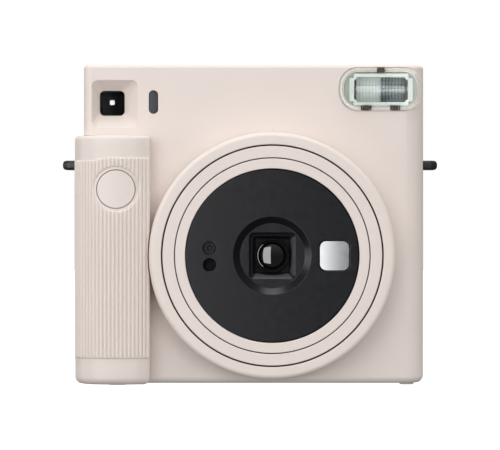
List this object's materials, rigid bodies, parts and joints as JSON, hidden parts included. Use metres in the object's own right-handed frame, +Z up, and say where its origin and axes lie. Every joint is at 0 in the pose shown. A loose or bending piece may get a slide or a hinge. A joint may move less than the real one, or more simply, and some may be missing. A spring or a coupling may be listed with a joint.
{
  "type": "instant camera",
  "caption": "Boxy instant film camera with a ribbed grip column, turning lens dial, telescoping lens barrels, corner flash, viewfinder and rear film door.",
  "frame": {"origin": "centre of the footprint of the whole camera's box, on the surface its feet stand on", "axes": "+X along the width, to the right of someone facing the lens; +Y from the lens to the back door; +Z up"},
  "size_m": [0.1406, 0.0576, 0.1192],
  "materials": {
    "body_plastic": "fine matte moulded plastic, chalk white",
    "black_plastic": "satin black",
    "dark_plastic": "flat black",
    "sensor_window": "gloss black, light tinted",
    "lens_glass": "polished, coated",
    "clear_plastic": "clear moulded plastic",
    "mirror": "polished",
    "soft_rubber": "matt",
    "lug_plastic": "satin black",
    "steel": "plain",
    "battery_jacket": "satin",
    "contact_brass": "plain",
    "gear_plastic": "natural nylon",
    "board": "solder mask"
  },
  "bodies": {
    "housing": {"front_cover": "body_plastic", "rear_cover": "body_plastic", "grip_cover": "body_plastic", "barrel_guide": "black_plastic", "film_chamber": "black_plastic", "battery_holder": "black_plastic", "battery_lower": "battery_jacket", "battery_upper": "battery_jacket", "battery_contact_lower": "contact_brass", "battery_contact_upper": "contact_brass", "viewfinder_tube": "black_plastic", "viewfinder_front_lens": "lens_glass", "viewfinder_rear_lens": "lens_glass", "eyepiece_frame": "soft_rubber", "light_receiver_window": "sensor_window", "strap_lug_left": "lug_plastic", "strap_lug_right": "lug_plastic", "flash_cover": "clear_plastic", "flash_reflector": "mirror", "flash_tube": "lens_glass", "flash_capacitor": "dark_plastic", "main_board": "board", "shutter_switch": "dark_plastic", "roller_frame": "steel", "eject_motor": "steel", "door_hinge_pin": "steel", "counter_window": "clear_plastic", "cover_screw_1": "steel", "cover_screw_2": "steel", "cover_screw_3": "steel", "cover_screw_4": "steel"},
    "dial": {"lens_dial": "body_plastic"},
    "outer_barrel_group": {"outer_barrel": "body_plastic"},
    "lens_group": {"inner_barrel": "body_plastic", "lens_plate": "black_plastic", "lens_mount": "dark_plastic", "front_lens": "lens_glass", "rear_lens": "lens_glass", "selfie_mirror": "mirror", "light_sensor_window": "sensor_window", "distance_sensor_window": "sensor_window", "shutter_plate": "dark_plastic", "shutter_cover": "dark_plastic", "shutter_solenoid": "steel"},
    "upper_blade": {"shutter_blade_upper": "dark_plastic"},
    "lower_blade": {"shutter_blade_lower": "dark_plastic"},
    "button": {"shutter_button": "body_plastic"},
    "film_door": {"back_door": "body_plastic", "film_window": "clear_plastic", "pack_pressure_plate": "steel"},
    "latch": {"door_latch": "body_plastic"},
    "battery_door": {"battery_cover": "body_plastic"},
    "drive_roller_group": {"drive_roller": "soft_rubber", "drive_gear": "gear_plastic"},
    "pinch_roller_group": {"pinch_roller": "steel"},
    "idler": {"idler_gear": "gear_plastic"},
    "pinion": {"motor_pinion": "gear_plastic"},
    "claw": {"film_claw": "steel"},
    "exit_flap": {"film_exit_flap": "black_plastic"},
    "counter": {"counter_disc": "gear_plastic"}
  },
  "joints": [
    {"name": "lens_dial_turn", "type": "hinge", "parent": "housing", "child": "dial", "pos_m": [0.0082, -0.02, 0.0484], "axis": [0, -1, 0], "range_deg": [0, 70]},
    {"name": "outer_barrel_extend", "type": "slide", "parent": "housing", "child": "outer_barrel_group", "axis": [0, -1, 0], "range_m": [0, 0.01]},
    {"name": "inner_barrel_extend", "type": "slide", "parent": "outer_barrel_group", "child": "lens_group", "axis": [0, -1, 0], "range_m": [0, 0.008]},
    {"name": "shutter_upper_open", "type": "slide", "parent": "lens_group", "child": "upper_blade", "axis": [0, 0, 1], "range_m": [0, 0.006], "stiffness_N_per_m": 5, "springref_m": -0.002},
    {"name": "shutter_lower_open", "type": "slide", "parent": "lens_group", "child": "lower_blade", "axis": [0, 0, 1], "range_m": [-0.006, 0]},
    {"name": "shutter_button_press", "type": "slide", "parent": "housing", "child": "button", "axis": [0, 1, 0], "range_m": [0, 0.0012], "stiffness_N_per_m": 400, "springref_m": -0.001},
    {"name": "film_door_open", "type": "hinge", "parent": "housing", "child": "film_door", "pos_m": [0.059, 0.0271, 0.0575], "axis": [0, 0, -1], "range_deg": [0, 110]},
    {"name": "door_latch_slide", "type": "slide", "parent": "film_door", "child": "latch", "axis": [0, 0, -1], "range_m": [0, 0.004], "stiffness_N_per_m": 150, "springref_m": -0.001},
    {"name": "battery_cover_open", "type": "hinge", "parent": "housing", "child": "battery_door", "pos_m": [-0.06425, 0.0007, 0.04], "axis": [0, 0, -1], "range_deg": [0, 100]},
    {"name": "drive_roller_turn", "type": "hinge", "parent": "housing", "child": "drive_roller_group", "pos_m": [0.008, 0.0088, 0.1105], "axis": [1, 0, 0], "continuous": true},
    {"name": "pinch_roller_turn", "type": "hinge", "parent": "housing", "child": "pinch_roller_group", "pos_m": [0.008, 0.0172, 0.1105], "axis": [1, 0, 0], "continuous": true},
    {"name": "idler_gear_turn", "type": "hinge", "parent": "housing", "child": "idler", "pos_m": [-0.0395, -0.00137, 0.10618], "axis": [1, 0, 0], "continuous": true},
    {"name": "motor_pinion_turn", "type": "hinge", "parent": "housing", "child": "pinion", "pos_m": [-0.0395, -0.01047, 0.10618], "axis": [1, 0, 0], "continuous": true},
    {"name": "film_claw_push", "type": "slide", "parent": "housing", "child": "claw", "axis": [0, 0, 1], "range_m": [0, 0.012], "stiffness_N_per_m": 20, "springref_m": -0.004},
    {"name": "film_exit_flap_lift", "type": "hinge", "parent": "housing", "child": "exit_flap", "pos_m": [0.008, 0.0138, 0.11865], "axis": [-1, 0, 0], "range_deg": [0, 80], "stiffness_Nm_per_rad": 0.002, "springref_deg": -17.19},
    {"name": "frame_counter_turn", "type": "hinge", "parent": "housing", "child": "counter", "pos_m": [-0.05, 0.0217, 0.072], "axis": [0, 1, 0], "range_deg": [0, 330]}
  ],
  "couplings": [
    {"joint": "outer_barrel_extend", "follows": "lens_dial_turn", "m_per_rad": 0.0081851},
    {"joint": "inner_barrel_extend", "follows": "lens_dial_turn", "m_per_rad": 0.0065481},
    {"joint": "shutter_lower_open", "follows": "shutter_upper_open", "ratio": -1},
    {"joint": "pinch_roller_turn", "follows": "drive_roller_turn", "ratio": -1},
    {"joint": "idler_gear_turn", "follows": "drive_roller_turn", "ratio": -0.88889},
    {"joint": "motor_pinion_turn", "follows": "drive_roller_turn", "ratio": 1.6}
  ]
}
